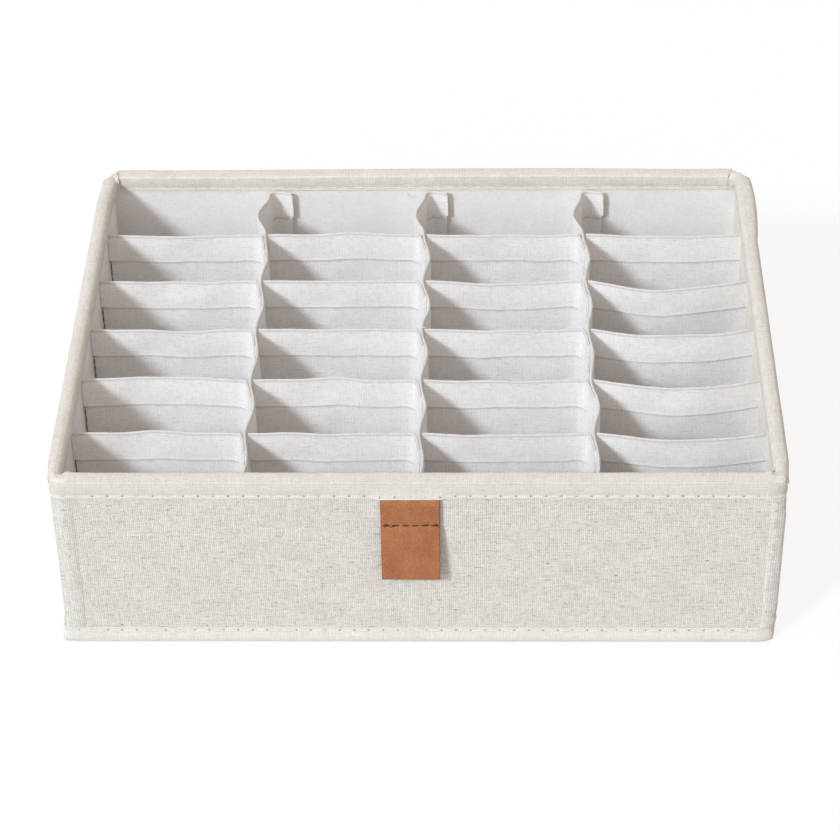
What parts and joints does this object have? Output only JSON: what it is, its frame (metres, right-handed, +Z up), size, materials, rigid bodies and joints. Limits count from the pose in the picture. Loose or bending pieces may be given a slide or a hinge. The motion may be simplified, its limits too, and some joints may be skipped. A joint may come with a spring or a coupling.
{
  "type": "drawer organizer",
  "caption": "Low rectangular fabric tray with stiff canvas walls, bound edges, a grid of soft cloth dividers open at the top and a leather pull tab on the front.",
  "frame": {"origin": "centre of the underside of the base canvas, on the surface that the tray stands on", "axes": "+X to the right along the long side, +Y to the back, +Z up; the pull tab is on the -Y face"},
  "size_m": [0.32, 0.2451, 0.094],
  "materials": {
    "canvas": "matte",
    "board": "matte",
    "lining": "matte",
    "binding": "matte",
    "divider": "matte",
    "leather": "satin"
  },
  "bodies": {
    "tray": {"back_board": "board", "back_bottom_binding": "binding", "back_canvas": "canvas", "back_left_seam": "canvas", "back_lining": "lining", "back_right_seam": "canvas", "back_top_binding": "binding", "base_board": "board", "base_canvas": "canvas", "base_lining": "lining", "cross_divider_row1_column1": "divider", "cross_divider_row1_column2": "divider", "cross_divider_row1_column3": "divider", "cross_divider_row1_column4": "divider", "cross_divider_row2_column1": "divider", "cross_divider_row2_column2": "divider", "cross_divider_row2_column3": "divider", "cross_divider_row2_column4": "divider", "cross_divider_row3_column1": "divider", "cross_divider_row3_column2": "divider", "cross_divider_row3_column3": "divider", "cross_divider_row3_column4": "divider", "cross_divider_row4_column1": "divider", "cross_divider_row4_column2": "divider", "cross_divider_row4_column3": "divider", "cross_divider_row4_column4": "divider", "cross_divider_row5_column1": "divider", "cross_divider_row5_column2": "divider", "cross_divider_row5_column3": "divider", "cross_divider_row5_column4": "divider", "front_board": "board", "front_bottom_binding": "binding", "front_canvas": "canvas", "front_left_seam": "canvas", "front_lining": "lining", "front_right_seam": "canvas", "front_top_binding": "binding", "left_board": "board", "left_bottom_binding": "binding", "left_canvas": "canvas", "left_lining": "lining", "left_top_binding": "binding", "long_divider_centre": "divider", "long_divider_left": "divider", "long_divider_right": "divider", "pull_tab_anchor": "leather", "right_board": "board", "right_bottom_binding": "binding", "right_canvas": "canvas", "right_lining": "lining", "right_top_binding": "binding"},
    "pull_tab": {"pull_tab": "leather"}
  },
  "joints": [
    {"name": "pull_tab_hinge", "type": "hinge", "parent": "tray", "child": "pull_tab", "pos_m": [-0.0031, -0.1202, 0.0702], "axis": [-1, 0, 0], "range_deg": [0, 100]}
  ]
}
